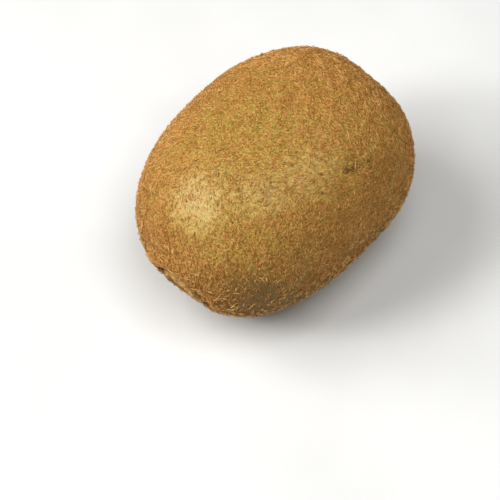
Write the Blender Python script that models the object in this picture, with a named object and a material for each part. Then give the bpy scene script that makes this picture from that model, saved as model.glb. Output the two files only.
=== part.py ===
"""A kiwi fruit as picked, lying on its flatter side.

The fruit is one solid: the body, the corky stem scar with its dried sepals at the -X end, and the small
beak with its dried styles at the +X end. The fuzz is finer than any solid here. Metres, +Z up, with the
origin on the floor below the middle of the fruit.
"""

import math
import random
from typing import NamedTuple

import bmesh
import bpy
from mathutils import Vector

MM = 0.001

# Driving dimensions of the body
LENGTH = 65.8 * MM
WIDTH = 50.8 * MM
THICKNESS = 47.3 * MM
FULLNESS = 2.49          # exponent of the long outline, where 2 is an ellipse and more has fuller shoulders
ROUNDNESS = 2.18         # exponent of the cross-section
TAPER = 0.035            # share by which the body widens towards the +X end
REST_CUT = 0.2 * MM      # depth of the small flat spot below

# Gentle lumps all over the body
LUMP_COUNT = 7
LUMP_LENGTH = (20.0 * MM, 46.0 * MM)
LUMP_HEIGHT = 0.10 * MM
RIB_COUNT = 5            # very faint lobes along the body, one for each pair of seed chambers
RIB_HEIGHT = 0.12 * MM
RIB_TURN = 0.9           # angle of the first lobe
RIB_START = 9.0 * MM     # distance from the long axis at which the lobes have their full height
SWELLING_RADIUS = 13.0 * MM

# Relief of the two ends
RELIEF_FULL = 12.0 * MM  # distance from the middle plane beyond which an end's relief is full
RELIEF_NONE = 2.0 * MM
SLANT_FULL = 4.0 * MM    # distance from an end's centre up to which its slant is full
SLANT_NONE = 17.0 * MM
RING_WANDER = 0.05       # share of its radius by which a ring wanders in and out
CREST_CHANGE = 0.28      # share of its height by which a ring's crest rises and falls
CREASE_WANDER = 2.2      # how unevenly the creases are spaced, in radians of their wave
WOBBLE_COUNTS = (2, 3, 5, 8)

# Mesh density
SEGMENTS = 52            # points round each ring
FINE_STEP = 0.48 * MM    # ring spacing in the scar and the beak
COARSE_STEP = 2.8 * MM   # ring spacing along the body
STEP_GROWTH = 1.35
STEM_FINE_RINGS = 17
BEAK_FINE_RINGS = 8
PROFILE_SAMPLES = 4000

# Dried sepals round the stem scar
SEPAL_COUNT = 5
SEPAL_ROOT = 5.4 * MM    # distance of the root from the scar's centre
SEPAL_LENGTH = (1.6 * MM, 2.8 * MM)
SEPAL_WIDTH = (1.8 * MM, 2.6 * MM)
SEPAL_THICKNESS = 0.46 * MM
SEPAL_SINK = 0.3 * MM
SEPAL_LIFT = (0.12 * MM, 0.26 * MM)   # how high the tip stands off the skin
SEPAL_TURN = 0.35        # angle of the first sepal
SEPAL_STRAY = 0.18       # share of the spacing by which a sepal is off its place
SEPAL_BEND = 0.12        # how far a tip swings round, in radians

# Dried styles on the beak
STYLE_COUNT = 14
STYLE_ROOTS = (1.15 * MM, 1.9 * MM)   # distance of the roots from the beak's centre, turn about
STYLE_LENGTH = (1.2 * MM, 2.4 * MM)
STYLE_WIDTH = 0.44 * MM
STYLE_SINK = 0.4 * MM
STYLE_LIFT = (0.3 * MM, 1.1 * MM)
STYLE_STRAY = 0.1
STYLE_BEND = 0.1

LIMB_SIDES = 6
LIMB_RINGS = 4
TIP_TAPER = 0.66         # share of the width that is gone at a tip
WELD = 0.01 * MM         # corners closer than this are one corner
SEED = 10


class Ring(NamedTuple):
    """A round swelling or groove about an end's centre, with the height of its crest above the body."""

    radius: float
    width: float
    height: float


class End(NamedTuple):
    """One end of the fruit: where its centre lies, and the rings and creases about that centre."""

    side: int            # -1 for the stem end, +1 for the beak
    centre: tuple        # y and z of the centre
    slant: float         # how much further out the upper half stands, as a slope
    stretch: float       # the rings are this much wider than high
    rings: tuple
    crease_count: int
    crease: Ring


class Limb(NamedTuple):
    """A dried sepal or style, which leaves a sunken root and lies outwards over the skin to a lifted tip."""

    root: float          # distance of the root from the end's centre
    tip: float           # distance of the tip from the end's centre
    angle: float         # direction of the root about the centre
    bend: float          # how far the tip swings round from that direction, in radians
    sink: float          # depth of the root's middle below the skin
    lift: float          # height of the tip's middle above the skin
    width: float         # full width at the root
    thickness: float     # full thickness at the root


STEM_END = End(
    side=-1,
    centre=(-3.0 * MM, -5.4 * MM),
    slant=0.12,
    stretch=1.06,
    rings=(
        Ring(radius=0.0, width=6.2 * MM, height=-1.15 * MM),     # the dish that the scar lies in
        Ring(radius=8.6 * MM, width=2.1 * MM, height=0.3 * MM),   # the shoulder round the dish
        Ring(radius=6.0 * MM, width=0.6 * MM, height=-0.55 * MM),  # the groove inside the shoulder
        Ring(radius=4.6 * MM, width=0.9 * MM, height=0.85 * MM),  # the outer corky ring
        Ring(radius=2.2 * MM, width=0.6 * MM, height=0.5 * MM),   # the inner ring
        Ring(radius=0.0, width=0.9 * MM, height=0.4 * MM),       # the button at the centre
    ),
    crease_count=11,
    crease=Ring(radius=7.2 * MM, width=1.4 * MM, height=-0.18 * MM),
)

BEAK_END = End(
    side=1,
    centre=(1.4 * MM, 0.6 * MM),
    slant=-0.05,
    stretch=1.0,
    rings=(
        Ring(radius=0.0, width=4.4 * MM, height=1.0 * MM),       # the beak
        Ring(radius=0.0, width=1.2 * MM, height=-0.7 * MM),      # the pit at its tip
        Ring(radius=2.1 * MM, width=0.6 * MM, height=0.3 * MM),   # the lip of the pit
    ),
    crease_count=9,
    crease=Ring(radius=4.2 * MM, width=1.7 * MM, height=-0.24 * MM),
)

# Places on the flanks where the body is a little fuller or flatter than an oval, with the height added there
SWELLINGS = (
    (Vector((-1.0 * MM, 23.5 * MM, 8.5 * MM)), 0.75 * MM),
    (Vector((6.0 * MM, -23.0 * MM, -8.0 * MM)), -0.55 * MM),
)

CAP_HELD = 9.0 * MM      # rings out to here keep the end's own centre
CAP_REACH = 19.0 * MM    # beyond this radius the rings are centred on the long axis


def smooth_fade(value: float, full: float, none: float) -> float:
    """Returns 1 up to full, 0 beyond none and a smooth passage between them."""
    share = min(max((none - value) / (none - full), 0.0), 1.0)
    return share * share * (3.0 - 2.0 * share)


def signed_power(value: float, exponent: float) -> float:
    """Raises the size of a number to a power and keeps its sign."""
    return math.copysign(abs(value) ** exponent, value)


def draw_waves(rng: random.Random) -> list:
    """Draws the plane waves whose sum makes the body's gentle lumps."""
    waves = []
    for _ in range(LUMP_COUNT):
        direction = Vector([rng.gauss(0.0, 1.0) for _ in range(3)]).normalized()
        wave_number = 2.0 * math.pi / rng.uniform(*LUMP_LENGTH)
        waves.append((direction * wave_number, rng.uniform(0.0, 2.0 * math.pi)))
    return waves


def draw_wobble(rng: random.Random) -> list:
    """Draws a wavy line round a ring, as pairs of a whole number of waves and a phase."""
    return [(count, rng.uniform(0.0, 2.0 * math.pi)) for count in WOBBLE_COUNTS]


def wobble_at(wobble: list, angle: float) -> float:
    """Value of a wavy line at an angle, between about -1 and 1."""
    return sum(math.sin(count * angle + phase) for count, phase in wobble) / len(wobble)


class Skin:
    """The outer surface of the fruit: a full oval with lumps, and the relief of its two ends."""

    def __init__(self, rng: random.Random):
        self.half = Vector((LENGTH, WIDTH, THICKNESS)) / 2.0
        self.waves = draw_waves(rng)
        self.wobbles = {end.side: draw_wobble(rng) for end in (STEM_END, BEAK_END)}

    def section_radius(self, y: float, z: float) -> float:
        """How far a point lies from the long axis, as a share of the body's half width in that direction."""
        total = abs(y / self.half.y) ** ROUNDNESS + abs(z / self.half.z) ** ROUNDNESS
        return min(total ** (1.0 / ROUNDNESS), 1.0)

    def normal(self, point: Vector) -> Vector:
        """Outward direction of the smooth oval at a point on it."""
        radius = max(self.section_radius(point.y, point.z), 1e-9)
        along = signed_power(point.x / self.half.x, FULLNESS - 1.0) / self.half.x
        spread = radius ** (FULLNESS - ROUNDNESS)
        across = spread * signed_power(point.y / self.half.y, ROUNDNESS - 1.0) / self.half.y
        upward = spread * signed_power(point.z / self.half.z, ROUNDNESS - 1.0) / self.half.z
        return Vector((along, across, upward)).normalized()

    def end_relief(self, end: End, y: float, z: float) -> float:
        """Height of the rings, the creases and the slant of one end above the smooth oval."""
        across = (y - end.centre[0]) / end.stretch
        upward = (z - end.centre[1]) * end.stretch
        radius = math.hypot(across, upward)
        angle = math.atan2(upward, across)
        wobble = wobble_at(self.wobbles[end.side], angle)
        height = end.slant * (z - end.centre[1]) * smooth_fade(radius, SLANT_FULL, SLANT_NONE)
        for ring in end.rings:
            inward = (radius - ring.radius * (1.0 + RING_WANDER * wobble)) / ring.width
            crest = 1.0 + CREST_CHANGE * wobble * min(radius / MM, 1.0)
            height += ring.height * crest * math.exp(-inward * inward)
        crease_wave = math.cos(end.crease_count * angle + CREASE_WANDER * wobble)
        inward = (radius - end.crease.radius) / end.crease.width
        return height + end.crease.height * crease_wave * math.exp(-inward * inward)

    def lumps(self, point: Vector) -> float:
        """Height of the gentle lumps, the faint lobes and the swellings at a point."""
        height = sum(math.sin(wave.dot(point) + phase) for wave, phase in self.waves) * LUMP_HEIGHT
        for centre, rise in SWELLINGS:
            height += rise * math.exp(-((point - centre).length / SWELLING_RADIUS) ** 2)
        angle = math.atan2(point.z, point.y)
        lobe = math.cos(RIB_COUNT * angle + RIB_TURN)
        return height + RIB_HEIGHT * lobe * smooth_fade(-math.hypot(point.y, point.z), -RIB_START, 0.0)

    def at(self, end: End, y: float, z: float, lift: float = 0.0) -> Vector:
        """Point of the skin on one half of the fruit, over a point of the middle plane.

        Args:
            end: the end that this half belongs to.
            y: place across the fruit, before the taper.
            z: place up the fruit, before the taper.
            lift: how far above the skin the point stands.

        Returns:
            The point in the body's own frame, whose origin is the middle of the oval.
        """
        share = 1.0 - self.section_radius(y, z) ** FULLNESS
        point = Vector((end.side * self.half.x * share ** (1.0 / FULLNESS), y, z))
        relief = self.end_relief(end, y, z) * smooth_fade(-abs(point.x), -RELIEF_FULL, -RELIEF_NONE)
        point += self.normal(point) * (relief + self.lumps(point) + lift)
        widening = 1.0 + TAPER * point.x / self.half.x
        return Vector((point.x, point.y * widening, point.z * widening))

    def around(self, end: End, radius: float, angle: float, lift: float = 0.0) -> Vector:
        """Point of the skin at a distance and an angle about an end's own centre."""
        y = end.centre[0] + radius * math.cos(angle)
        z = end.centre[1] + radius * math.sin(angle)
        return self.at(end, y, z, lift)


def profile_arc() -> list:
    """Follows the long outline from the stem pole to the beak pole, as pairs of arc length and angle."""
    arc = [(0.0, 0.0)]
    last = Vector((-LENGTH / 2.0, 0.0))
    for step in range(1, PROFILE_SAMPLES + 1):
        angle = math.pi * step / PROFILE_SAMPLES
        along = -signed_power(math.cos(angle), 2.0 / FULLNESS) * LENGTH / 2.0
        across = abs(math.sin(angle)) ** (2.0 / FULLNESS) * WIDTH / 2.0
        point = Vector((along, across))
        arc.append((arc[-1][0] + (point - last).length, angle))
        last = point
    return arc


def ring_steps(fine_rings: int, reach: float) -> list:
    """Distances of the rings from one pole: a fine set first, then ever wider steps up to the reach."""
    steps = [FINE_STEP * (number + 1) for number in range(fine_rings)]
    step = FINE_STEP
    while steps[-1] < reach:
        step = min(step * STEP_GROWTH, COARSE_STEP)
        steps.append(steps[-1] + step)
    return steps[:-1]


def ring_angles() -> list:
    """Angles of all the rings along the outline, spaced by their distance along the skin."""
    arc = profile_arc()
    total = arc[-1][0]
    from_stem = ring_steps(STEM_FINE_RINGS, total / 2.0)
    from_beak = ring_steps(BEAK_FINE_RINGS, total / 2.0)
    places = from_stem + [total - place for place in reversed(from_beak)]
    angles = []
    index = 0
    for place in places:
        while arc[index][0] < place:
            index += 1
        angles.append(arc[index][1])
    return angles


def ring_point(skin: Skin, outline_angle: float, section_angle: float) -> Vector:
    """Point of the skin on a ring, with the rings near an end drawn round that end's own centre."""
    end = STEM_END if outline_angle < math.pi / 2.0 else BEAK_END
    radius = abs(math.sin(outline_angle)) ** (2.0 / FULLNESS)
    y = skin.half.y * radius * signed_power(math.cos(section_angle), 2.0 / ROUNDNESS)
    z = skin.half.z * radius * signed_power(math.sin(section_angle), 2.0 / ROUNDNESS)
    shift = smooth_fade(radius * WIDTH / 2.0, CAP_HELD, CAP_REACH)
    return skin.at(end, y + end.centre[0] * shift, z + end.centre[1] * shift)


def build_body(skin: Skin) -> bmesh.types.BMesh:
    """Covers the skin with rings, closes the two poles and cuts the flat spot below."""
    body = bmesh.new()
    rings = []
    for outline_angle in ring_angles():
        turns = [2.0 * math.pi * number / SEGMENTS for number in range(SEGMENTS)]
        rings.append([body.verts.new(ring_point(skin, outline_angle, turn)) for turn in turns])
    for near, far in zip(rings, rings[1:]):
        for number in range(SEGMENTS):
            following = (number + 1) % SEGMENTS
            body.faces.new((near[number], far[number], far[following], near[following]))
    for end, ring in ((STEM_END, rings[0]), (BEAK_END, rings[-1])):
        pole = body.verts.new(skin.around(end, 0.0, 0.0))
        for number in range(SEGMENTS):
            body.faces.new((pole, ring[number], ring[(number + 1) % SEGMENTS]))
    lowest = min(vertex.co.z for vertex in body.verts)
    geometry = body.verts[:] + body.edges[:] + body.faces[:]
    floor = Vector((0.0, 0.0, lowest + REST_CUT))
    bmesh.ops.bisect_plane(body, geom=geometry, plane_co=floor, plane_no=(0.0, 0.0, -1.0), clear_outer=True)
    bmesh.ops.holes_fill(body, edges=[edge for edge in body.edges if edge.is_boundary], sides=0)
    bmesh.ops.recalc_face_normals(body, faces=body.faces[:])
    return body


def build_limb(skin: Skin, end: End, limb: Limb) -> bmesh.types.BMesh:
    """Lays the closed tapering solid of one limb over the skin.

    Args:
        skin: the surface that the limb follows.
        end: the end whose centre the limb points away from.
        limb: where the limb lies and how large it is.

    Returns:
        The closed mesh of the limb.
    """
    shares = [number / (LIMB_RINGS - 1) for number in range(LIMB_RINGS)]
    radii = [limb.root + (limb.tip - limb.root) * share for share in shares]
    turns = [limb.angle + limb.bend * share * share for share in shares]
    heights = [(limb.sink + limb.lift) * share - limb.sink for share in shares]
    spine = [skin.around(end, *place) for place in zip(radii, turns, heights)]
    raised = [skin.around(end, *place) for place in zip(radii, turns, [height + MM for height in heights])]
    solid = bmesh.new()
    rings = []
    for number, share in enumerate(shares):
        forward = (spine[min(number + 1, LIMB_RINGS - 1)] - spine[max(number - 1, 0)]).normalized()
        across = forward.cross(raised[number] - spine[number]).normalized()
        upward = across.cross(forward).normalized()
        taper = 1.0 - TIP_TAPER * share * share
        ring = []
        for side in range(LIMB_SIDES):
            turn = 2.0 * math.pi * side / LIMB_SIDES
            sideways = across * (math.cos(turn) * limb.width / 2.0 * taper)
            lifted = upward * (math.sin(turn) * limb.thickness / 2.0 * taper)
            ring.append(solid.verts.new(spine[number] + sideways + lifted))
        rings.append(ring)
    for near, far in zip(rings, rings[1:]):
        for side in range(LIMB_SIDES):
            following = (side + 1) % LIMB_SIDES
            solid.faces.new((near[side], far[side], far[following], near[following]))
    solid.faces.new(rings[0])
    solid.faces.new(rings[-1])
    bmesh.ops.recalc_face_normals(solid, faces=solid.faces[:])
    return solid


def build_sepals(skin: Skin, rng: random.Random) -> list:
    """Makes the dried sepals, which stand in the groove round the scar and lie out over its shoulder."""
    sepals = []
    for number in range(SEPAL_COUNT):
        stray = rng.uniform(-SEPAL_STRAY, SEPAL_STRAY)
        sepals.append(build_limb(skin, STEM_END, Limb(
            root=SEPAL_ROOT,
            tip=SEPAL_ROOT + rng.uniform(*SEPAL_LENGTH),
            angle=2.0 * math.pi * (number + stray) / SEPAL_COUNT + SEPAL_TURN,
            bend=rng.uniform(-SEPAL_BEND, SEPAL_BEND),
            sink=SEPAL_SINK,
            lift=rng.uniform(*SEPAL_LIFT),
            width=rng.uniform(*SEPAL_WIDTH),
            thickness=SEPAL_THICKNESS,
        )))
    return sepals


def build_styles(skin: Skin, rng: random.Random) -> list:
    """Makes the dried styles, which spread out from the pit of the beak."""
    styles = []
    for number in range(STYLE_COUNT):
        root = STYLE_ROOTS[number % len(STYLE_ROOTS)]
        stray = rng.uniform(-STYLE_STRAY, STYLE_STRAY)
        styles.append(build_limb(skin, BEAK_END, Limb(
            root=root,
            tip=root + rng.uniform(*STYLE_LENGTH),
            angle=2.0 * math.pi * (number + stray) / STYLE_COUNT,
            bend=rng.uniform(-STYLE_BEND, STYLE_BEND),
            sink=STYLE_SINK,
            lift=rng.uniform(*STYLE_LIFT),
            width=STYLE_WIDTH,
            thickness=STYLE_WIDTH,
        )))
    return styles


def place_mesh(name: str, source: bmesh.types.BMesh, collection: bpy.types.Collection) -> bpy.types.Object:
    """Turns a bmesh into an object of a collection."""
    mesh = bpy.data.meshes.new(name)
    source.to_mesh(mesh)
    source.free()
    made = bpy.data.objects.new(name, mesh)
    collection.objects.link(made)
    return made


def fuse(body: bpy.types.Object, limbs: list) -> None:
    """Joins all the limbs to the body in one union, so that the fruit is one solid."""
    helpers = bpy.data.collections.new("limbs")
    bpy.context.scene.collection.children.link(helpers)
    for number, limb in enumerate(limbs):
        place_mesh(f"limb_{number:02d}", limb, helpers)
    union = body.modifiers.new("union", "BOOLEAN")
    union.operation = "UNION"
    union.solver = "EXACT"
    union.operand_type = "COLLECTION"
    union.collection = helpers
    bpy.context.view_layer.objects.active = body
    bpy.ops.object.modifier_apply(modifier=union.name)
    for helper in list(helpers.objects):
        bpy.data.objects.remove(helper, do_unlink=True)
    bpy.data.collections.remove(helpers)
    joined = bmesh.new()
    joined.from_mesh(body.data)
    bmesh.ops.remove_doubles(joined, verts=joined.verts[:], dist=WELD)
    joined.to_mesh(body.data)
    joined.free()


def settle(fruit: bpy.types.Object) -> None:
    """Moves the mesh so that the origin is on the floor below the middle of its box."""
    places = [vertex.co for vertex in fruit.data.vertices]
    low = Vector([min(place[axis] for place in places) for axis in range(3)])
    high = Vector([max(place[axis] for place in places) for axis in range(3)])
    middle = (low + high) / 2.0
    middle.z = low.z
    for vertex in fruit.data.vertices:
        vertex.co -= middle


def skin_material() -> bpy.types.Material:
    """Makes the dull olive brown of the furry skin."""
    material = bpy.data.materials.new("kiwi_skin")
    material.use_nodes = True
    shader = material.node_tree.nodes["Principled BSDF"]
    shader.inputs["Base Color"].default_value = (0.36, 0.23, 0.07, 1.0)
    shader.inputs["Roughness"].default_value = 0.75
    shader.inputs["Metallic"].default_value = 0.0
    return material


def main() -> None:
    """Builds the fruit in an empty scene."""
    for leftover in list(bpy.data.objects):
        bpy.data.objects.remove(leftover, do_unlink=True)
    rng = random.Random(SEED)
    skin = Skin(rng)
    fruit = place_mesh("kiwi_fruit", build_body(skin), bpy.context.scene.collection)
    fuse(fruit, build_sepals(skin, rng) + build_styles(skin, rng))
    settle(fruit)
    fruit.data.materials.clear()
    fruit.data.materials.append(skin_material())
    fruit.data.shade_smooth()
    fruit.data.set_sharp_from_angle(angle=math.radians(40.0))


main()
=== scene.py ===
"""Looks of the kiwi fruit: its fine skin with the corky scar and the dried beak, its fuzz, and the studio.

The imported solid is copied, closed at a fine grain and given its crust and pores. Fuzz is planted over it as
many thousands of small closed hairs, and the fruit lies on a pale floor under soft light.
"""

import logging
import math
from dataclasses import dataclass, field
from enum import Enum

import bpy
import numpy as np
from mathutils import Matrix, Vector


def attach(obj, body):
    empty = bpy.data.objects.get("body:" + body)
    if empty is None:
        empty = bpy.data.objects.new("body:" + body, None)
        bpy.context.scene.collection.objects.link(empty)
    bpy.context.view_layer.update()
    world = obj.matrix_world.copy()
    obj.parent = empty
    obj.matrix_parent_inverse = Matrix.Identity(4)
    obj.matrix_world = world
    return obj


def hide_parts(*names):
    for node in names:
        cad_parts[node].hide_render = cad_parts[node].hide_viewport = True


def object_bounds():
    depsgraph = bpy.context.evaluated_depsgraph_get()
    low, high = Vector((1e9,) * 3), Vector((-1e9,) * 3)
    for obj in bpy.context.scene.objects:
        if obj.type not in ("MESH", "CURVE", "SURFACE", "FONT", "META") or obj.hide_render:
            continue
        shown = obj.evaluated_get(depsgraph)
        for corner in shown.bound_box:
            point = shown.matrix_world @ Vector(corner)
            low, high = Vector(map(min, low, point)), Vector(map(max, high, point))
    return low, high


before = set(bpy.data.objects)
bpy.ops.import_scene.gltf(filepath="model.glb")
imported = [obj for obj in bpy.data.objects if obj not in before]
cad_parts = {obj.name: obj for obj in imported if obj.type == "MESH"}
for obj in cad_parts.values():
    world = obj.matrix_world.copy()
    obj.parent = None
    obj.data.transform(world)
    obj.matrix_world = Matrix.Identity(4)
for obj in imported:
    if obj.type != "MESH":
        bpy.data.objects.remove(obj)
CAD_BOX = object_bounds()

logging.basicConfig(level=logging.INFO, format="%(levelname)s %(message)s")
log = logging.getLogger("kiwi")

MM = 0.001
BODY = "root"
FRUIT_NODE = "kiwi_fruit"
FUZZ_MAP = "OFBake"


class Mark(Enum):
    """The named masks that the skin carries as attributes of its corners."""

    CORK = "cork"
    RIM = "rim"
    # painted shade in the groove round the scar and between its ring crests
    GROOVE = "groove_shade"
    BEAK = "beak"
    BLEMISH = "blemish"
    # bare patches whose darker skin is partly painted shade
    BARE = "bare_and_shaded"
    # worn places, where the skin is painted paler as a highlight
    WORN = "worn_highlight"
    RUSSET = "russet"
    # painted shade: the skin darkens toward the bottom of the fruit
    BELLY = "underside_shade"


@dataclass(frozen=True)
class Spot:
    """A round place on the skin, in millimetres, with how strongly it shows."""

    x: float
    y: float
    z: float
    radius: float
    strength: float = 1.0

    def distance(self, places: np.ndarray) -> np.ndarray:
        """Returns how far each place lies from the spot's middle, as a share of its radius."""
        offset = places - np.array((self.x, self.y, self.z)) * MM
        return np.linalg.norm(offset, axis=1) / (self.radius * MM)


@dataclass(frozen=True)
class FruitEnd:
    """The middle of one end of the fruit, the way it faces and how much wider than high it is."""

    middle: tuple[float, float, float]
    facing: tuple[float, float, float]
    stretch: float = 1.0
    depth: float = 4.0 * MM   # a place up to this far before or behind the middle counts as level with it

    def distance(self, places: np.ndarray) -> np.ndarray:
        """Returns how far each place lies from the end's middle, measured across the way it faces."""
        offset = places - np.array(self.middle)
        axis = np.array(self.facing) / np.linalg.norm(self.facing)
        ahead = offset @ axis
        across = offset - ahead[:, None] * axis
        sideways = across[:, 1]
        upward = np.sqrt(np.maximum((across ** 2).sum(axis=1) - sideways ** 2, 0.0))
        beyond = np.maximum(np.abs(ahead) - self.depth, 0.0)
        return np.sqrt((sideways / self.stretch) ** 2 + (upward * self.stretch) ** 2 + beyond ** 2)


STEM_SCAR = FruitEnd(
    middle=(-32.6 * MM, -3.3 * MM, 18.4 * MM), facing=(-0.956, 0.0, -0.293), stretch=1.06,
)
BEAK = FruitEnd(middle=(32.8 * MM, 0.96 * MM, 24.2 * MM), facing=(1.0, 0.05, 0.03))
UNDERSIDE_SHADE_HEIGHT = (15.0 * MM, 31.0 * MM)   # painted shade: the skin and its hairs are painted darkest below the first and as usual above the second

# Dark scuffs and small dots on the upper side; the places where the fuzz is thin over dark skin, whose
# darkness is partly painted shade; the places where it is worn down over smoother skin that is painted paler
# as a highlight;
# and the wide place round those that has lost many of its long hairs
SCUFFS = (
    Spot(4.4, -17.7, 42.5, 1.2, 0.75), Spot(5.7, -18.0, 42.2, 1.5, 0.65), Spot(7.4, -18.0, 42.0, 1.4, 0.6),
    Spot(9.1, -18.3, 41.5, 1.1, 0.5), Spot(10.8, -18.7, 40.9, 1.3, 0.6), Spot(10.5, -19.9, 39.7, 0.9, 0.5),
    Spot(-11.1, -10.1, 44.9, 0.45), Spot(-17.4, -6.6, 44.4, 0.45), Spot(-1.6, -8.1, 46.2, 0.4),
    Spot(-14.2, -6.5, 45.2, 0.35), Spot(-4.4, -9.6, 45.7, 0.4), Spot(-4.1, -12.7, 44.8, 0.4),
    Spot(-3.2, -17.8, 42.2, 0.45), Spot(-19.8, -3.4, 43.9, 0.4), Spot(16.3, -11.4, 43.9, 0.5),
    Spot(13.8, -22.6, 34.3, 0.6), Spot(-17.0, 0.9, 44.7, 1.2, 0.35), Spot(-15.7, -0.4, 45.2, 0.9, 0.3),
)
# thin fuzz over skin painted darker, partly as shade: low on the front, on the far side and at the bottom
# where the fruit rests
THIN_SHADED_PLACES = (
    Spot(-26.1, -18.1, 27.6, 9.0, 0.85), Spot(-19.0, -22.0, 24.5, 9.0, 0.5),
    Spot(12.0, 22.0, 14.0, 9.0, 0.4), Spot(0.0, 0.0, 0.0, 12.0, 0.7),
)
# painted highlight: the skin at these spots is painted paler, and the fuzz is worn thinner and redder
WORN_HIGHLIGHT_PLACES = (
    Spot(-25.1, 0.2, 40.9, 9.5, 0.78), Spot(-1.5, -14.5, 43.6, 9.0, 0.45),
    Spot(-13.0, -9.5, 44.6, 8.0, 0.35),
)
RUBBED_PLACES = (Spot(-13.0, -3.0, 45.0, 24.0, 0.6),)


def deselect_all() -> None:
    """Leaves nothing selected, so that the next operator acts on its own piece alone."""
    bpy.ops.object.select_all(action="DESELECT")


def make_active(piece: bpy.types.Object) -> None:
    """Selects one object alone and makes it the active one.

    Args:
        piece: the object that the next operators act on.
    """
    deselect_all()
    piece.select_set(True)
    bpy.context.view_layer.objects.active = piece


def apply_modifiers(piece: bpy.types.Object) -> None:
    """Applies all the modifiers of a piece, in their order."""
    make_active(piece)
    for modifier in list(piece.modifiers):
        bpy.ops.object.modifier_apply(modifier=modifier.name)


def corner_places(mesh: bpy.types.Mesh) -> np.ndarray:
    """Reads the places of a mesh's corners as rows of x, y and z."""
    places = np.empty(len(mesh.vertices) * 3, np.float32)
    mesh.vertices.foreach_get("co", places)
    return places.reshape(-1, 3).astype(np.float64)


def corner_normals(mesh: bpy.types.Mesh) -> np.ndarray:
    """Reads the outward directions of a mesh's corners."""
    normals = np.empty(len(mesh.vertices) * 3, np.float32)
    mesh.vertices.foreach_get("normal", normals)
    return normals.reshape(-1, 3).astype(np.float64)


def normalised(rows: np.ndarray) -> np.ndarray:
    """Scales each row of an array to length one."""
    return rows / np.maximum(np.linalg.norm(rows, axis=-1, keepdims=True), 1e-12)


def outward_from(end: FruitEnd, roots: np.ndarray, normals: np.ndarray) -> np.ndarray:
    """Finds the directions along the skin that lead away from the middle of one end.

    Args:
        end: the end of the fruit.
        roots: places on the skin.
        normals: outward directions there.

    Returns:
        One direction for each place.
    """
    outward = roots - np.array(end.middle)
    return normalised(outward - (outward * normals).sum(axis=1)[:, None] * normals)


def fade(distance: np.ndarray, full: float, none: float) -> np.ndarray:
    """Returns 1 up to full, 0 beyond none and a smooth passage between them.

    Args:
        distance: the distances to judge.
        full: distance up to which the result is 1.
        none: distance beyond which the result is 0.

    Returns:
        One value from 0 to 1 for each distance.
    """
    share = np.clip((none - distance) / (none - full), 0.0, 1.0)
    return share * share * (3.0 - 2.0 * share)


def waves(places: np.ndarray, length: float, count: int, seed: int) -> np.ndarray:
    """Adds up plane waves in random directions, as a smooth pattern between about -1 and 1.

    Args:
        places: the places at which the pattern is read.
        length: the typical distance from one crest to the next.
        count: how many waves are added.
        seed: start of the random draw.

    Returns:
        One value for each place.
    """
    rng = np.random.default_rng(seed)
    directions = normalised(rng.normal(size=(count, 3)))
    lengths = length * rng.uniform(0.7, 1.4, count)
    phases = rng.uniform(0.0, 2.0 * math.pi, count)
    total = np.zeros(len(places))
    for direction, wave_length, phase in zip(directions, lengths, phases):
        total += np.sin(places @ direction * (2.0 * math.pi / wave_length) + phase)
    return total / math.sqrt(count)


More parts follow.
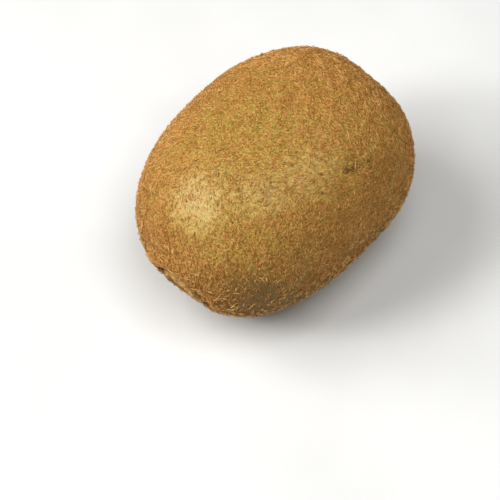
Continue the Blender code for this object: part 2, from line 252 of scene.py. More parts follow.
class Recipe:
    """The node tree of one material, with short ways to add nodes and to join them."""

    def __init__(self, name: str):
        """Starts a material that holds a Principled shader.

        Args:
            name: the material's name.
        """
        self.material = bpy.data.materials.new(name)
        self.material.use_nodes = True
        self.nodes = self.material.node_tree.nodes
        self.links = self.material.node_tree.links
        self.shader = self.nodes["Principled BSDF"]

    def node(self, kind: str, **settings: object) -> bpy.types.Node:
        """Adds a node and sets its own properties.

        Args:
            kind: the node's type name.
            settings: properties of the node, by name.

        Returns:
            The new node.
        """
        made = self.nodes.new(kind)
        for name, value in settings.items():
            setattr(made, name, value)
        return made

    def join(self, source: bpy.types.NodeSocket, target: bpy.types.NodeSocket) -> None:
        """Links an output to an input."""
        self.links.new(source, target)

    def place(self) -> bpy.types.NodeSocket:
        """Adds the coordinates of the object itself, in metres."""
        return self.node("ShaderNodeTexCoord").outputs["Object"]

    def noise(self, coordinates: bpy.types.NodeSocket, grain: float, detail: float = 2.0,
              roughness: float = 0.5) -> bpy.types.NodeSocket:
        """Adds a noise pattern.

        Args:
            coordinates: where the pattern is read.
            grain: size of one blob, in metres.
            detail: how many finer layers are added.
            roughness: how strong the finer layers are.

        Returns:
            The noise value, about 0.5 on average.
        """
        made = self.node("ShaderNodeTexNoise")
        made.inputs["Scale"].default_value = 1.0 / grain
        made.inputs["Detail"].default_value = detail
        made.inputs["Roughness"].default_value = roughness
        self.join(coordinates, made.inputs["Vector"])
        return made.outputs["Fac"]

    def spots(self, coordinates: bpy.types.NodeSocket, spacing: float) -> bpy.types.NodeSocket:
        """Adds a pattern of cells and returns the distance to the nearest middle, as a share of spacing."""
        made = self.node("ShaderNodeTexVoronoi")
        made.inputs["Scale"].default_value = 1.0 / spacing
        self.join(coordinates, made.inputs["Vector"])
        return made.outputs["Distance"]

    def band(self, value: bpy.types.NodeSocket, start: float, end: float, low: float = 0.0,
             high: float = 1.0) -> bpy.types.NodeSocket:
        """Maps a value from one range to another, smoothly and without overshoot.

        Args:
            value: the value to map.
            start: value that gives low.
            end: value that gives high.
            low: result at start.
            high: result at end.

        Returns:
            The mapped value.
        """
        made = self.node("ShaderNodeMapRange", interpolation_type="SMOOTHSTEP", clamp=True)
        self.join(value, made.inputs["Value"])
        made.inputs["From Min"].default_value = start
        made.inputs["From Max"].default_value = end
        made.inputs["To Min"].default_value = low
        made.inputs["To Max"].default_value = high
        return made.outputs["Result"]

    def attribute(self, mark: Mark) -> bpy.types.NodeSocket:
        """Reads one of the skin's masks."""
        made = self.node("ShaderNodeAttribute", attribute_name=mark.value)
        return made.outputs["Fac"]

    def times(self, value: bpy.types.NodeSocket, factor: float) -> bpy.types.NodeSocket:
        """Multiplies a value by a fixed number."""
        made = self.node("ShaderNodeMath", operation="MULTIPLY")
        self.join(value, made.inputs[0])
        made.inputs[1].default_value = factor
        return made.outputs[0]

    def plus(self, first: bpy.types.NodeSocket, second: bpy.types.NodeSocket) -> bpy.types.NodeSocket:
        """Adds two values."""
        made = self.node("ShaderNodeMath", operation="ADD")
        self.join(first, made.inputs[0])
        self.join(second, made.inputs[1])
        return made.outputs[0]

    def blend(self, share: bpy.types.NodeSocket, first: object, second: object) -> bpy.types.NodeSocket:
        """Mixes two colours.

        Args:
            share: how much of the second colour shows.
            first: the first colour, a socket or four numbers.
            second: the second colour, a socket or four numbers.

        Returns:
            The mixed colour.
        """
        made = self.node("ShaderNodeMix", data_type="RGBA")
        self.join(share, made.inputs["Factor"])
        for socket, colour in ((made.inputs[6], first), (made.inputs[7], second)):
            if isinstance(colour, bpy.types.NodeSocket):
                self.join(colour, socket)
            else:
                socket.default_value = colour
        return made.outputs[2]

    def bump(self, height: bpy.types.NodeSocket, strength: float, distance: float,
             under: bpy.types.NodeSocket | None = None) -> bpy.types.NodeSocket:
        """Adds a bump and returns its direction.

        Args:
            height: the relief.
            strength: how much of the relief shows.
            distance: height that the value 1 stands for.
            under: a coarser bump that this one lies on.

        Returns:
            The bumped normal.
        """
        made = self.node("ShaderNodeBump")
        made.inputs["Strength"].default_value = strength
        made.inputs["Distance"].default_value = distance
        self.join(height, made.inputs["Height"])
        if under is not None:
            self.join(under, made.inputs["Normal"])
        return made.outputs["Normal"]


def rgb(red: float, green: float, blue: float) -> tuple[float, float, float, float]:
    """Turns a colour as the eye reads it, 0 to 255, into the linear values that a shader takes."""
    linear = [((value / 255.0 + 0.055) / 1.055) ** 2.4 for value in (red, green, blue)]
    return (*linear, 1.0)


@dataclass(frozen=True)
class SkinFinish:
    """Dull olive brown skin, mottled and dotted, with tan cork at the scar and a dark dried beak."""

    olive: tuple = rgb(172, 134, 52)
    green: tuple = rgb(164, 140, 52)
    pale: tuple = rgb(208, 180, 108)
    brown: tuple = rgb(142, 98, 38)
    shade: tuple = rgb(92, 64, 18)
    # painted shade of the underside
    underside_shade: tuple = rgb(60, 42, 8)
    fleck: tuple = rgb(204, 112, 48)
    russet: tuple = rgb(182, 124, 54)
    cork: tuple = rgb(128, 92, 46)
    cork_pale: tuple = rgb(190, 146, 84)
    rim: tuple = rgb(214, 172, 106)
    # near-black painted shade of the groove
    groove_shade: tuple = rgb(28, 17, 8)
    dried: tuple = rgb(74, 52, 30)
    scuff: tuple = rgb(88, 58, 28)
    roughness: float = 0.5
    specular: float = 0.22
    patch_grain: float = 13.0 * MM
    mottle_grain: float = 1.5 * MM
    pore_grain: float = 0.4 * MM
    fleck_spacing: float = 0.95 * MM

    def material(self) -> bpy.types.Material:
        """Builds the skin's material.

        Returns:
            The finished material.
        """
        recipe = Recipe("kiwi_skin_finish")
        place = recipe.place()
        patches = recipe.band(recipe.noise(place, self.patch_grain, 2.0), 0.4, 0.62)
        mottle = recipe.noise(place, self.mottle_grain, 3.0, 0.6)
        pores = recipe.noise(place, self.pore_grain, 2.0)
        flecks = recipe.band(recipe.spots(place, self.fleck_spacing), 0.16, 0.3, 0.55, 0.0)
        colour = recipe.blend(patches, self.olive, self.green)
        colour = recipe.blend(recipe.band(mottle, 0.52, 0.74, 0.0, 0.7), colour, self.brown)
        colour = recipe.blend(recipe.band(mottle, 0.48, 0.3, 0.0, 0.42), colour, self.shade)
        colour = recipe.blend(recipe.band(pores, 0.5, 0.38, 0.0, 0.5), colour, self.pale)
        colour = recipe.blend(recipe.band(pores, 0.48, 0.64, 0.0, 0.6), colour, self.shade)
        # painted shade: the skin is painted darker toward the bottom
        colour = recipe.blend(recipe.times(recipe.attribute(Mark.BELLY), 0.8), colour, self.underside_shade)
        # painted highlight: paler skin at the worn places
        colour = recipe.blend(recipe.times(recipe.attribute(Mark.WORN), 0.7), colour, self.pale)
        colour = recipe.blend(flecks, colour, self.fleck)
        colour = recipe.blend(recipe.times(recipe.attribute(Mark.RUSSET), 0.55), colour, self.russet)
        # partly painted shade: the skin of the thin places is darkened
        colour = recipe.blend(recipe.times(recipe.attribute(Mark.BARE), 0.75), colour, self.shade)
        cork = recipe.blend(recipe.band(pores, 0.4, 0.6), self.cork, self.cork_pale)
        colour = recipe.blend(recipe.attribute(Mark.CORK), colour, cork)
        colour = recipe.blend(recipe.times(recipe.attribute(Mark.RIM), 0.85), colour, self.rim)
        # painted shade in the groove round the scar
        colour = recipe.blend(recipe.attribute(Mark.GROOVE), colour, self.groove_shade)
        colour = recipe.blend(recipe.attribute(Mark.BEAK), colour, self.dried)
        colour = recipe.blend(recipe.attribute(Mark.BLEMISH), colour, self.scuff)
        recipe.join(colour, recipe.shader.inputs["Base Color"])
        rough = recipe.band(mottle, 0.3, 0.7, self.roughness - 0.08, self.roughness + 0.14)
        dull = recipe.band(recipe.attribute(Mark.CORK), 0.0, 0.6, 0.0, 0.4)
        smooth = recipe.band(recipe.attribute(Mark.WORN), 0.0, 1.0, 0.0, -0.1)
        rough = recipe.plus(recipe.plus(rough, dull), smooth)
        recipe.join(rough, recipe.shader.inputs["Roughness"])
        recipe.shader.inputs["Specular IOR Level"].default_value = self.specular
        coarse = recipe.bump(mottle, 0.5, 0.2 * MM)
        fine = recipe.bump(pores, 0.5, 0.08 * MM, coarse)
        recipe.join(fine, recipe.shader.inputs["Normal"])
        return recipe.material


@dataclass(frozen=True)
class FuzzFinish:
    """Golden tan hairs, each of its own tone from rust through brown to straw, darker at the root."""

    name: str
    rust: tuple = rgb(206, 118, 50)
    brown: tuple = rgb(146, 102, 34)
    amber: tuple = rgb(192, 134, 62)
    tan: tuple = rgb(222, 167, 92)
    straw: tuple = rgb(240, 203, 130)
    root: tuple = rgb(94, 66, 14)
    roughness: float = 0.6

    def material(self) -> bpy.types.Material:
        """Builds the hairs' material, which reads the tone across and the height up the fuzz's own map."""
        recipe = Recipe(self.name)
        chart = recipe.node("ShaderNodeUVMap", uv_map=FUZZ_MAP)
        split = recipe.node("ShaderNodeSeparateXYZ")
        recipe.join(chart.outputs["UV"], split.inputs[0])
        tones = recipe.node("ShaderNodeValToRGB")
        ramp = tones.color_ramp
        ramp.elements[0].position = 0.1
        ramp.elements[0].color = self.rust
        ramp.elements[1].position = 1.0
        ramp.elements[1].color = self.straw
        for position, colour in ((0.2, self.brown), (0.4, self.amber), (0.65, self.tan)):
            ramp.elements.new(position).color = colour
        recipe.join(split.outputs["X"], tones.inputs["Fac"])
        at_root = recipe.band(split.outputs["Y"], 0.0, 0.45, 0.65, 0.0)
        colour = recipe.blend(at_root, tones.outputs["Color"], self.root)
        recipe.join(colour, recipe.shader.inputs["Base Color"])
        recipe.shader.inputs["Roughness"].default_value = self.roughness
        recipe.shader.inputs["Specular IOR Level"].default_value = 0.3
        return recipe.material


@dataclass(frozen=True)
class FloorFinish:
    """Matt white paper of a studio sweep, with the faintest cloudiness."""

    white: tuple = rgb(236, 236, 234)
    shade: tuple = rgb(229, 229, 227)
    cloud_grain: float = 60.0 * MM
    roughness: float = 0.9

    def material(self) -> bpy.types.Material:
        """Builds the floor's material."""
        recipe = Recipe("studio_floor_finish")
        cloud = recipe.band(recipe.noise(recipe.place(), self.cloud_grain, 3.0), 0.35, 0.65)
        recipe.join(recipe.blend(cloud, self.white, self.shade), recipe.shader.inputs["Base Color"])
        recipe.shader.inputs["Roughness"].default_value = self.roughness
        return recipe.material


@dataclass
class FruitSkin:
    """The fruit's visible surface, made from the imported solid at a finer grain."""

    grain: float = 0.4 * MM            # size of one face of the skin
    merge: float = 0.004 * MM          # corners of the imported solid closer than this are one
    smoothing_passes: int = 4
    ripple_height: float = 0.09 * MM
    ripple_length: float = 2.4 * MM
    crust_height: float = 0.8 * MM
    crust_length: float = 0.7 * MM
    scar_radius: float = 5.2 * MM
    ring_radii: tuple[float, ...] = (2.2 * MM, 4.6 * MM)
    crest_width: float = 0.6 * MM
    groove_radius: float = 6.15 * MM
    groove_width: float = 0.5 * MM
    beak_radius: float = 2.6 * MM
    wander: float = 0.22 * MM          # how far the edge of a mask strays
    scar_russet: tuple[float, float] = (7.0 * MM, 12.0 * MM)   # red up to the first, usual from the second
    beak_russet: tuple[float, float] = (4.0 * MM, 12.0 * MM)
    finish: SkinFinish = field(default_factory=SkinFinish)

    def build(self) -> bpy.types.Object:
        """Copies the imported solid, remeshes it finely, raises its crust and paints its masks.

        Returns:
            The finished skin, which stands for the fruit's node.
        """
        skin = self.copy_of_solid()
        self.refine(skin)
        self.raise_crust(skin)
        self.rest_on_floor(skin)
        self.paint_masks(skin)
        skin.data.materials.append(self.finish.material())
        make_active(skin)
        bpy.ops.object.shade_smooth()
        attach(skin, BODY)
        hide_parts(FRUIT_NODE)
        log.info("%s: %d faces", skin.name, len(skin.data.polygons))
        return skin

    def copy_of_solid(self) -> bpy.types.Object:
        """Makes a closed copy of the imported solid, whose own mesh is loose triangles.

        Returns:
            The copy, at the origin and with no parent.
        """
        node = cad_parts[FRUIT_NODE]
        skin = bpy.data.objects.new("fruit_skin", node.data.copy())
        bpy.context.scene.collection.objects.link(skin)
        skin.data.materials.clear()
        make_active(skin)
        bpy.ops.object.mode_set(mode="EDIT")
        bpy.ops.mesh.select_all(action="SELECT")
        bpy.ops.mesh.remove_doubles(threshold=self.merge)
        bpy.ops.object.mode_set(mode="OBJECT")
        return skin

    def refine(self, skin: bpy.types.Object) -> None:
        """Covers the copy with small even faces and rounds off the solid's facets."""
        remesh = skin.modifiers.new("fine_grain", "REMESH")
        remesh.mode = "VOXEL"
        remesh.voxel_size = self.grain
        smooth = skin.modifiers.new("rounding", "SMOOTH")
        smooth.factor = 0.5
        smooth.iterations = self.smoothing_passes
        apply_modifiers(skin)

    def raise_crust(self, skin: bpy.types.Object) -> None:
        """Raises fine ripples all over and a rough crust on the scar and the beak."""
        places = corner_places(skin.data)
        scar = fade(STEM_SCAR.distance(places), self.scar_radius, self.scar_radius + MM)
        beak = fade(BEAK.distance(places), self.beak_radius, self.beak_radius + MM)
        crust = skin.vertex_groups.new(name="crust")
        weights = np.maximum(scar, 0.7 * beak)
        for corner in np.flatnonzero(weights > 0.02):
            crust.add([int(corner)], float(weights[corner]), "REPLACE")
        self.displace(skin, "ripples", self.ripple_height, self.ripple_length, "")
        self.displace(skin, "crust", self.crust_height, self.crust_length, crust.name)
        apply_modifiers(skin)

    def displace(self, skin: bpy.types.Object, name: str, height: float, length: float,
                 group: str) -> None:
        """Adds a cloudy displacement.

        Args:
            skin: the piece to displace.
            name: name of the modifier and its texture.
            height: full height from the lowest to the highest place.
            length: size of one cloud.
            group: the vertex group that it is limited to, or nothing.
        """
        clouds = bpy.data.textures.new(name, "CLOUDS")
        clouds.noise_scale = length
        clouds.noise_depth = 2
        modifier = skin.modifiers.new(name, "DISPLACE")
        modifier.texture = clouds
        modifier.texture_coords = "LOCAL"
        modifier.strength = height
        modifier.mid_level = 0.5
        modifier.vertex_group = group

    def rest_on_floor(self, skin: bpy.types.Object) -> None:
        """Presses the skin flat where it meets the floor."""
        places = corner_places(skin.data)
        places[:, 2] = np.maximum(places[:, 2], 0.0)
        skin.data.vertices.foreach_set("co", places.astype(np.float32).ravel())
        skin.data.update()

    def paint_masks(self, skin: bpy.types.Object) -> None:
        """Writes the masks that the finish reads onto the skin's corners."""
        places = corner_places(skin.data)
        wander = self.wander * waves(places, 3.0 * MM, 6, 5)
        to_scar = STEM_SCAR.distance(places) + wander
        to_beak = BEAK.distance(places) + wander
        # painted shade: a near-black, patchy ring in the groove round the scar, and darker troughs between
        # the scar's ring crests
        dark = 1.1 * np.exp(-((to_scar - self.groove_radius) / self.groove_width) ** 2)
        low = np.min([np.abs(to_scar - radius) for radius in self.ring_radii], axis=0)
        crest = np.exp(-(low / self.crest_width) ** 2)
        dark += 0.35 * fade(-low, -0.9 * MM, -0.4 * MM) * fade(to_scar, 3.8 * MM, 4.6 * MM)
        patchy = np.clip(0.85 + 0.5 * waves(places, 1.8 * MM, 8, 31), 0.4, 1.0)
        masks = {
            Mark.CORK: fade(to_scar, self.scar_radius, self.scar_radius + 1.2 * MM),
            Mark.RIM: crest * np.clip(0.45 + 0.5 * waves(places, 2.6 * MM, 8, 33), 0.0, 1.0),
            Mark.GROOVE: dark * patchy,
            Mark.BEAK: 0.85 * fade(to_beak, self.beak_radius, self.beak_radius + 1.5 * MM),
            Mark.BLEMISH: self.spotted(places, SCUFFS),
            # partly painted shade on the thin places
            Mark.BARE: self.spotted(places, THIN_SHADED_PLACES),
            # painted highlight on the worn places
            Mark.WORN: self.spotted(places, WORN_HIGHLIGHT_PLACES),
            # painted shade: darker toward the bottom of the fruit
            Mark.BELLY: fade(places[:, 2] + 10.0 * wander, *UNDERSIDE_SHADE_HEIGHT),
            Mark.RUSSET: np.maximum(fade(to_scar, *self.scar_russet), fade(to_beak, *self.beak_russet)),
        }
        for mark, values in masks.items():
            layer = skin.data.attributes.new(mark.value, "FLOAT", "POINT")
            layer.data.foreach_set("value", np.clip(values, 0.0, 1.0).astype(np.float32))

    def spotted(self, places: np.ndarray, spots: tuple[Spot, ...]) -> np.ndarray:
        """Adds up round spots as soft, ragged patches.

        Args:
            places: the skin's corners.
            spots: the spots to draw.

        Returns:
            One value for each corner.
        """
        total = np.zeros(len(places))
        ragged = 1.0 + 0.22 * waves(places, 1.6 * MM, 7, 9)
        for spot in spots:
            total += spot.strength * fade(spot.distance(places) * ragged, 0.35, 1.0)
        return total


class HairShape(Enum):
    """How a hair is built: the shares of its length at which its rings lie, before its tip."""

    STRAIGHT = (0.0,)
    BENT = (0.0, 0.6)
    CURLED = (0.0, 0.45, 0.8)


@dataclass
class HairPattern:
    """One hair, modelled once: a closed three-sided stalk of unit length and width, ending in a point."""

    shape: HairShape
    taper: float = 0.3                 # share of the width that is lost along the stalk

    def model(self) -> tuple[np.ndarray, np.ndarray]:
        """Models the hair from a triangle that is extruded ring by ring and closed at its tip.

        Returns:
            The corners as rows of across, upward and share of the length, and the faces as rows of three.
        """
        deselect_all()
        bpy.ops.mesh.primitive_circle_add(vertices=3, radius=0.5, fill_type="NGON", enter_editmode=True)
        stalk = bpy.context.active_object
        bpy.ops.mesh.flip_normals()
        rings = (*self.shape.value, 1.0)
        for low, high in zip(rings, rings[1:]):
            bpy.ops.mesh.extrude_region_move(TRANSFORM_OT_translate={"value": (0.0, 0.0, high - low)})
            narrowing = (1.0 - self.taper * high) / (1.0 - self.taper * low)
            bpy.ops.transform.resize(
                value=(narrowing, narrowing, 1.0), center_override=(0.0, 0.0, high),
            )
        bpy.ops.mesh.merge(type="CENTER")
        bpy.ops.mesh.select_all(action="SELECT")
        bpy.ops.mesh.quads_convert_to_tris()
        bpy.ops.mesh.normals_make_consistent(inside=False)
        bpy.ops.object.mode_set(mode="OBJECT")
        corners = corner_places(stalk.data)
        faces = np.array([face.vertices[:] for face in stalk.data.polygons])
        mesh = stalk.data
        bpy.data.objects.remove(stalk)
        bpy.data.meshes.remove(mesh)
        return corners, faces


@dataclass
class FuzzCoat:
    """One coat of closed three-sided hairs planted over the skin."""

    name: str
    shape: HairShape
    hairs: int
    length: tuple[float, float]
    width: tuple[float, float]
    lean: tuple[float, float]           # least and greatest angle between a hair and the skin, in radians
    upright: float                      # how rare the steep hairs are, 1 being as common as the flat ones
    tone: tuple[float, float]           # middle and spread of the hairs' tone
    seed: int
    finish: FuzzFinish
    combed: tuple[float, float, float] = (0.61, 0.61, 0.5)      # from where hairs lie lengthwise to round
    combed_reach: tuple[float, float] = (3.0 * MM, 22.0 * MM)   # where along that way the change lies
    turn: float = 1.9                   # angle from lying round to lying lengthwise, in radians
    stem_turn: float = 0.85             # further turn near the stem end
    stem_turn_reach: tuple[float, float] = (-24.0 * MM, -6.0 * MM)   # x up to which it is full, and none
    drift: float = 0.25                 # how far hairs turn together over a wide stretch, in radians
    lock: float = 0.3                   # the same over a narrow stretch
    tuft: float = 0.4                   # the same in one tuft
    backward: float = 0.3               # share of the hairs that point the other way
    away: float = 0.8                   # how strongly the hairs lie away from the scar
    away_reach: tuple[float, float] = (7.0 * MM, 11.0 * MM)
    patchiness: float = 0.25            # how far the coat thins and thickens from patch to patch
    end_thickness: float = 0.7          # how much thicker the coat is near the two ends
    end_length: float = 0.3             # how much longer the hairs are there
    scuff_wear: float = 0.8             # share of the hairs that is missing on a scuff of full strength
    bald_edge: float = 0.5 * MM         # width over which a bald place's edge fades
    curl: float = 0.3
    droop: float = 0.35
    stray: float = 0.45
    sink: float = 0.06 * MM
    floor_gap: float = 0.03 * MM
    bald_height: float = 0.5 * MM       # no hair starts lower than this
    wear: float = 0.5                  # share of the hairs that is missing where a place is bare or worn
    worn_rust: float = 0.2             # how much redder the hairs are where the fuzz is worn
    belly_wear: float = 0.0            # share of the hairs that is missing on the belly
    belly_tone: float = 0.0            # how much lighter the hairs are on the underside; a negative value paints shade on them there
    belly_shade: float = 0.0           # painted shade: how far the dark of the roots is carried up the hairs on the underside
    scar_bald: float = 6.35 * MM
    beak_bald: float = 1.8 * MM

    def build(self, skin: bpy.types.Object) -> bpy.types.Object:
        """Plants the coat.

        Args:
            skin: the surface that the hairs grow from.

        Returns:
            The coat as one mesh of closed hairs.
        """
        rng = np.random.default_rng(self.seed)
        roots, normals = self.draw_roots(skin, rng)
        forward = self.directions(roots, normals, rng)
        pattern, faces = HairPattern(self.shape).model()
        places = self.hair_places(pattern, roots, normals, forward, rng)
        chart = self.tone_chart(pattern, roots, rng)
        coat = self.to_object(places, faces, chart)
        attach(coat, BODY)
        log.info("%s: %d hairs, %d faces", self.name, len(roots), len(coat.data.polygons))
        return coat

    def draw_roots(self, skin: bpy.types.Object,
                   rng: np.random.Generator) -> tuple[np.ndarray, np.ndarray]:
        """Draws the hairs' roots over the skin, thinned out where it is bald.

        Args:
            skin: the surface that the hairs grow from.
            rng: source of the random draw.

        Returns:
            The roots' places and the skin's outward directions there.
        """
        mesh = skin.data
        mesh.calc_loop_triangles()
        triangles = np.empty(len(mesh.loop_triangles) * 3, np.int32)
        mesh.loop_triangles.foreach_get("vertices", triangles)
        triangles = triangles.reshape(-1, 3)
        corners = corner_places(mesh)
        outward = corner_normals(mesh)
        first, second, third = (corners[triangles[:, number]] for number in range(3))
        areas = np.linalg.norm(np.cross(second - first, third - first), axis=1) / 2.0
        weights = areas * self.density((first + second + third) / 3.0)
        chosen = triangles[rng.choice(len(triangles), self.hairs, p=weights / weights.sum())]
        shares = rng.dirichlet((1.0, 1.0, 1.0), self.hairs)[:, :, None]
        roots = (corners[chosen] * shares).sum(axis=1)
        normals = normalised((outward[chosen] * shares).sum(axis=1))
        return roots, normals

    def density(self, places: np.ndarray) -> np.ndarray:
        """Says how thickly the hairs stand at each place, 1 being usual."""
        to_scar = STEM_SCAR.distance(places)
        to_beak = BEAK.distance(places)
        wide_patches = self.patchiness * waves(places, 7.0 * MM, 8, 21)
        small_patches = self.patchiness * waves(places, 1.8 * MM, 8, 22)
        near_scar = self.end_thickness * fade(to_scar, 8.0 * MM, 12.0 * MM)
        near_beak = self.end_thickness * fade(to_beak, 5.0 * MM, 13.0 * MM)
        thick = 1.0 + wide_patches + small_patches
        thick *= 1.0 + near_scar + near_beak
        thick *= 1.0 - fade(to_scar, self.scar_bald, self.scar_bald + self.bald_edge)
        thick *= 1.0 - fade(to_beak, self.beak_bald, self.beak_bald + self.bald_edge)
        for spot in (*THIN_SHADED_PLACES, *WORN_HIGHLIGHT_PLACES, *RUBBED_PLACES):
            thick *= 1.0 - self.wear * spot.strength * fade(spot.distance(places), 0.4, 1.0)
        for spot in SCUFFS:
            thick *= 1.0 - self.scuff_wear * spot.strength * fade(spot.distance(places), 0.6, 1.3)
        thick *= 1.0 - self.belly_wear * fade(places[:, 2], *UNDERSIDE_SHADE_HEIGHT)
        thick[places[:, 2] < self.bald_height] = 0.0
        return np.maximum(thick, 0.0)

    def directions(self, roots: np.ndarray, normals: np.ndarray, rng: np.random.Generator) -> np.ndarray:
        """Gives each hair its lie: lengthwise on the lower front, round the fruit beyond, and in tufts.

        Args:
            roots: places of the roots.
            normals: outward directions there.
            rng: source of the random draw.

        Returns:
            One direction along the skin for each hair.
        """
        base = normalised(np.cross(normals, (1.0, 0.02, 0.03)))
        side = np.cross(normals, base)
        lengthwise = self.turn + self.stem_turn * fade(roots[:, 0], *self.stem_turn_reach)
        lengthwise *= fade(roots @ np.array(self.combed), *self.combed_reach)
        drift = self.drift * waves(roots, 28.0 * MM, 6, 3) + self.lock * waves(roots, 6.0 * MM, 9, 4)
        tuft = self.tuft * waves(roots, 1.7 * MM, 10, 8)
        own = rng.normal(0.0, self.stray, len(roots)) + math.pi * (rng.random(len(roots)) < self.backward)
        turn = (lengthwise + drift + tuft + own)[:, None]
        away = self.away * fade(STEM_SCAR.distance(roots), *self.away_reach)[:, None]
        return normalised((1.0 - away) * (base * np.cos(turn) + side * np.sin(turn))
                          + away * outward_from(STEM_SCAR, roots, normals))

    def hair_places(self, pattern: np.ndarray, roots: np.ndarray, normals: np.ndarray,
                    forward: np.ndarray, rng: np.random.Generator) -> np.ndarray:
        """Bends a copy of the pattern to each hair's own length, lean and curl.

        Args:
            pattern: corners of the pattern, as rows of across, upward and share of the length.
            roots: places of the roots.
            normals: outward directions there.
            forward: the way each hair lies along the skin.
            rng: source of the random draw.

        Returns:
            An array of hairs by corners by x, y and z.
        """
        count = len(roots)
        near_end = np.minimum(STEM_SCAR.distance(roots), BEAK.distance(roots))
        longer = 1.0 + self.end_length * fade(near_end, 8.0 * MM, 20.0 * MM)
        length = (rng.uniform(*self.length, count) * longer)[:, None]
        width = rng.uniform(*self.width, count)[:, None]
        steepness = rng.random(count) ** self.upright
        lean = (self.lean[0] + (self.lean[1] - self.lean[0]) * steepness)[:, None]
        curl = rng.normal(0.0, self.curl, count)[:, None]
        side = np.cross(normals, forward)
        places = np.empty((count, len(pattern), 3))
        for number, (across, upward, share) in enumerate(pattern):
            out = length * np.cos(lean) * share
            rise = length * np.sin(lean) * share * (1.0 + self.droop - self.droop * 2.0 * share)
            swing = length * curl * share * share
            places[:, number] = (roots + forward * out + normals * (rise - self.sink + upward * width)
                                 + side * (swing + across * width))
        places[:, :, 2] = np.maximum(places[:, :, 2], self.floor_gap)
        return places

    def tone_chart(self, pattern: np.ndarray, roots: np.ndarray, rng: np.random.Generator) -> np.ndarray:
        """Works out the map of the coat: each hair's tone across, and the share of its length upward.

        Args:
            pattern: corners of the pattern.
            roots: places of the roots.
            rng: source of the random draw.

        Returns:
            An array of hairs by corners by the two map coordinates.
        """
        middle, spread = self.tone
        tones = middle + spread * rng.normal(size=len(roots)) + 0.08 * waves(roots, 3.0 * MM, 8, 14)
        # painted shade on the underside: most hairs there are darker, the curls lighter, and their dark roots
        # reach further up
        underside_shade = fade(roots[:, 2], *UNDERSIDE_SHADE_HEIGHT)
        tones += self.belly_tone * underside_shade
        # the worn places, where the painted highlight lies
        worn_highlight = sum(spot.strength * fade(spot.distance(roots), 0.4, 1.0) for spot in WORN_HIGHLIGHT_PLACES)
        tones -= self.worn_rust * worn_highlight
        chart = np.empty((len(roots), len(pattern), 2))
        chart[:, :, 0] = np.clip(tones, 0.02, 0.98)[:, None] + 0.016 * pattern[None, :, 0]
        chart[:, :, 1] = 0.02 + 0.96 * pattern[None, :, 2] * (1.0 - self.belly_shade * underside_shade)[:, None]
        # painted light: the dark of the roots is shortened on the upper side, and more at the painted
        # highlights
        painted_light_root = np.minimum(0.25 * (1.0 - underside_shade) + 0.6 * worn_highlight, 0.5)
        chart[:, :, 1] = np.maximum(chart[:, :, 1], painted_light_root[:, None])
        return chart

    def to_object(self, places: np.ndarray, faces: np.ndarray, chart: np.ndarray) -> bpy.types.Object:
        """Makes one mesh of all the hairs, with its map.

        Args:
            places: corners of every hair.
            faces: the pattern's faces.
            chart: the map coordinates of every corner.

        Returns:
            The coat's object.
        """
        count, per_hair = places.shape[:2]
        all_faces = (faces[None] + np.arange(count)[:, None, None] * per_hair).reshape(-1, 3)
        mesh = bpy.data.meshes.new(self.name)
        mesh.vertices.add(count * per_hair)
        mesh.vertices.foreach_set("co", places.astype(np.float32).ravel())
        mesh.loops.add(all_faces.size)
        mesh.loops.foreach_set("vertex_index", all_faces.astype(np.int32).ravel())
        mesh.polygons.add(len(all_faces))
        mesh.polygons.foreach_set("loop_start", np.arange(0, all_faces.size, 3, dtype=np.int32))
        mesh.update(calc_edges=True)
        layer = mesh.uv_layers.new(name=FUZZ_MAP)
        corner_chart = chart.reshape(-1, 2)[all_faces.ravel()]
        layer.uv.foreach_set("vector", corner_chart.astype(np.float32).ravel())
        mesh.materials.append(self.finish.material())
        coat = bpy.data.objects.new(self.name, mesh)
        bpy.context.scene.collection.objects.link(coat)
        return coat


@dataclass
class DriedRing(FuzzCoat):
    """Dried brown sepals or styles, which stand in a ring about one end of the fruit and point outwards."""

    end: FruitEnd = STEM_SCAR
    ring: tuple[float, float] = (5.3 * MM, 6.3 * MM)   # least and greatest distance from the end's middle

    def density(self, places: np.ndarray) -> np.ndarray:
        """Lets the dried parts grow in their ring alone."""
        distance = self.end.distance(places)
        return ((distance > self.ring[0]) & (distance < self.ring[1])).astype(float)

    def directions(self, roots: np.ndarray, normals: np.ndarray, rng: np.random.Generator) -> np.ndarray:
        """Points each dried part away from the middle of its end, a little astray.

        Args:
            roots: places of the roots.
            normals: outward directions there.
            rng: source of the random draw.

        Returns:
            One direction along the skin for each part.
        """
        outward = outward_from(self.end, roots, normals)
        turn = rng.normal(0.0, self.stray, len(roots))[:, None]
        return outward * np.cos(turn) + np.cross(normals, outward) * np.sin(turn)


@dataclass(frozen=True)
class Softbox:
    """A square soft light: where it hangs from the fruit's middle, its size and its power."""

    name: str
    place: tuple[float, float, float]
    size: float
    power: float

    def hang(self, middle: Vector) -> None:
        """Hangs the light so that it faces the fruit's middle."""
        light = bpy.data.lights.new(self.name, "AREA")
        light.size = self.size
        light.energy = self.power
        lamp = bpy.data.objects.new(self.name, light)
        lamp.location = middle + Vector(self.place)
        lamp.rotation_euler = Vector(self.place).to_track_quat("Z", "Y").to_euler()
        bpy.context.scene.collection.objects.link(lamp)


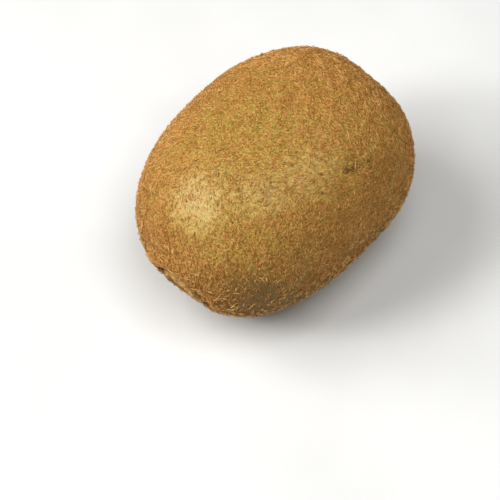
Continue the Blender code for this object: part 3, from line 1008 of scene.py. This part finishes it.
@dataclass
class Studio:
    """The pale floor with its raised rim, the soft lights and the camera."""

    azimuth: float = -45.0
    elevation: float = 60.0
    distance: float = 0.6
    lens: float = 190.0
    sensor: float = 36.0
    image: int = 500
    middle_pixel: tuple[float, float] = (274.0, 179.7)   # where the middle of the fruit's box shows
    floor_sides: int = 96
    floor_inset: float = 0.4                             # width of the floor's own outer band
    sweep: tuple[tuple[float, float], ...] = (           # radius and height of the floor's rim and its rise
        (1.5, 0.0), (1.85, 0.1), (2.1, 0.4), (2.2, 0.9),
    )
    softboxes: tuple[Softbox, ...] = (
        Softbox("main", (-0.43, 0.49, 0.76), 0.6, 6.7),
        Softbox("left", (-0.67, 0.37, 0.64), 0.26, 3.4),
        Softbox("overhead", (-0.03, -0.27, 0.96), 0.6, 5.9),
    )
    room_light: float = 0.05

    def build(self) -> None:
        """Makes the whole studio."""
        self.make_floor()
        self.make_camera()
        middle = (CAD_BOX[0] + CAD_BOX[1]) / 2.0
        for softbox in self.softboxes:
            softbox.hang(middle)
        self.light_room()
        bpy.context.scene.view_settings.view_transform = "Standard"
        log.info("studio: floor, camera and %d soft lights", len(self.softboxes))

    def axes(self) -> tuple[Vector, Vector, Vector]:
        """Works out the camera's right, up and backward directions."""
        azimuth = math.radians(self.azimuth)
        elevation = math.radians(self.elevation)
        level = math.cos(elevation)
        back = Vector((math.sin(azimuth) * level, -math.cos(azimuth) * level, math.sin(elevation)))
        right = Vector((math.cos(azimuth), math.sin(azimuth), 0.0))
        return right, back.cross(right), back

    def make_floor(self) -> None:
        """Models the floor as a wide round sheet whose rim sweeps up."""
        deselect_all()
        bpy.ops.mesh.primitive_circle_add(
            vertices=self.floor_sides, radius=self.sweep[0][0], fill_type="NGON", enter_editmode=True,
        )
        floor = bpy.context.active_object
        floor.name = "studio_floor"
        bpy.ops.mesh.select_mode(type="EDGE")
        bpy.ops.mesh.inset(thickness=self.floor_inset)
        bpy.ops.mesh.select_all(action="DESELECT")
        bpy.ops.object.mode_set(mode="OBJECT")
        rim = self.sweep[0][0] * 0.99
        for edge in floor.data.edges:
            edge.select = min(floor.data.vertices[corner].co.length for corner in edge.vertices) > rim
        bpy.ops.object.mode_set(mode="EDIT")
        for (near, low), (far, high) in zip(self.sweep, self.sweep[1:]):
            bpy.ops.mesh.extrude_edges_move(TRANSFORM_OT_translate={"value": (0.0, 0.0, high - low)})
            bpy.ops.transform.resize(
                value=(far / near, far / near, 1.0), center_override=(0.0, 0.0, high),
            )
        bpy.ops.mesh.select_all(action="SELECT")
        bpy.ops.mesh.normals_make_consistent(inside=True)
        bpy.ops.object.mode_set(mode="OBJECT")
        bpy.ops.object.shade_smooth()
        floor.data.materials.append(FloorFinish().material())

    def make_camera(self) -> None:
        """Aims the camera so that the fruit's middle shows at its place in the picture."""
        right, up, back = self.axes()
        middle = (CAD_BOX[0] + CAD_BOX[1]) / 2.0
        per_pixel = self.distance * self.sensor / self.lens / self.image
        aside = (self.middle_pixel[0] - self.image / 2.0) * per_pixel
        above = (self.image / 2.0 - self.middle_pixel[1]) * per_pixel
        camera_data = bpy.data.cameras.new("studio_camera")
        camera_data.lens = self.lens
        camera_data.sensor_width = self.sensor
        camera_data.clip_start = 0.01
        camera = bpy.data.objects.new("studio_camera", camera_data)
        camera.location = middle + back * self.distance - right * aside - up * above
        camera.rotation_euler = back.to_track_quat("Z", "Y").to_euler()
        bpy.context.scene.collection.objects.link(camera)
        bpy.context.scene.camera = camera

    def light_room(self) -> None:
        """Fills the room with a weak even white light."""
        world = bpy.data.worlds.new("studio_room")
        world.use_nodes = True
        background = world.node_tree.nodes["Background"]
        background.inputs["Color"].default_value = (1.0, 1.0, 1.0, 1.0)
        background.inputs["Strength"].default_value = self.room_light
        bpy.context.scene.world = world


def fuzz_coats() -> list[FuzzCoat]:
    """Lists the coats of fuzz, from brown down to the boldest curls, and the dried parts at both ends."""
    down = FuzzFinish("down_finish")
    strands = FuzzFinish("strand_finish")
    dried = FuzzFinish(
        "dried_finish", rust=rgb(92, 56, 26), brown=rgb(58, 38, 20), amber=rgb(84, 56, 30),
        tan=rgb(122, 88, 52), straw=rgb(166, 128, 84), root=rgb(34, 22, 12), roughness=0.8,
    )
    return [
        FuzzCoat(
            name="down", shape=HairShape.STRAIGHT, hairs=49000, seed=100, finish=down,
            length=(0.35 * MM, 0.85 * MM), width=(0.1 * MM, 0.16 * MM), lean=(0.15, 1.25), upright=1.8,
            tone=(0.36, 0.13), wear=0.3, belly_wear=0.8, belly_tone=-0.18, belly_shade=0.85,
        ),
        FuzzCoat(
            name="short_hairs", shape=HairShape.STRAIGHT, hairs=49000, seed=101, finish=down,
            length=(0.55 * MM, 1.15 * MM), width=(0.13 * MM, 0.2 * MM), lean=(0.12, 0.9), upright=2.0,
            tone=(0.45, 0.15), wear=0.45, belly_wear=0.8, belly_tone=-0.14, belly_shade=0.8,
        ),
        FuzzCoat(
            name="strands", shape=HairShape.BENT, hairs=17800, seed=200, finish=strands,
            length=(0.7 * MM, 1.35 * MM), width=(0.18 * MM, 0.27 * MM), lean=(0.15, 0.8), upright=1.8,
            tone=(0.52, 0.12), wear=0.8, belly_wear=0.5, belly_tone=-0.1, belly_shade=0.7,
            curl=0.35, scar_bald=6.9 * MM,
        ),
        FuzzCoat(
            name="curls", shape=HairShape.CURLED, hairs=10800, seed=300, finish=strands,
            length=(0.9 * MM, 1.6 * MM), width=(0.21 * MM, 0.31 * MM), lean=(0.12, 0.6), upright=1.8,
            tone=(0.56, 0.1), wear=1.1, belly_wear=0.35, belly_tone=0.26, belly_shade=0.05,
            curl=0.4, scar_bald=6.9 * MM,
        ),
        DriedRing(
            name="dried_sepals", shape=HairShape.BENT, hairs=90, seed=400, finish=dried,
            length=(0.7 * MM, 1.5 * MM), width=(0.26 * MM, 0.5 * MM), lean=(0.05, 0.4), upright=1.5,
            tone=(0.5, 0.25), stray=0.5,
        ),
        DriedRing(
            name="dried_styles", shape=HairShape.CURLED, hairs=70, seed=500, finish=dried,
            length=(0.7 * MM, 1.7 * MM), width=(0.24 * MM, 0.4 * MM), lean=(0.2, 1.1), upright=1.0,
            tone=(0.5, 0.22), stray=1.0, end=BEAK, ring=(0.0, 2.2 * MM),
        ),
    ]


def main() -> None:
    """Builds the fruit's skin, its coats of fuzz and the studio."""
    skin = FruitSkin().build()
    for coat in fuzz_coats():
        coat.build(skin)
    Studio().build()


if __name__ == "__main__":
    main()
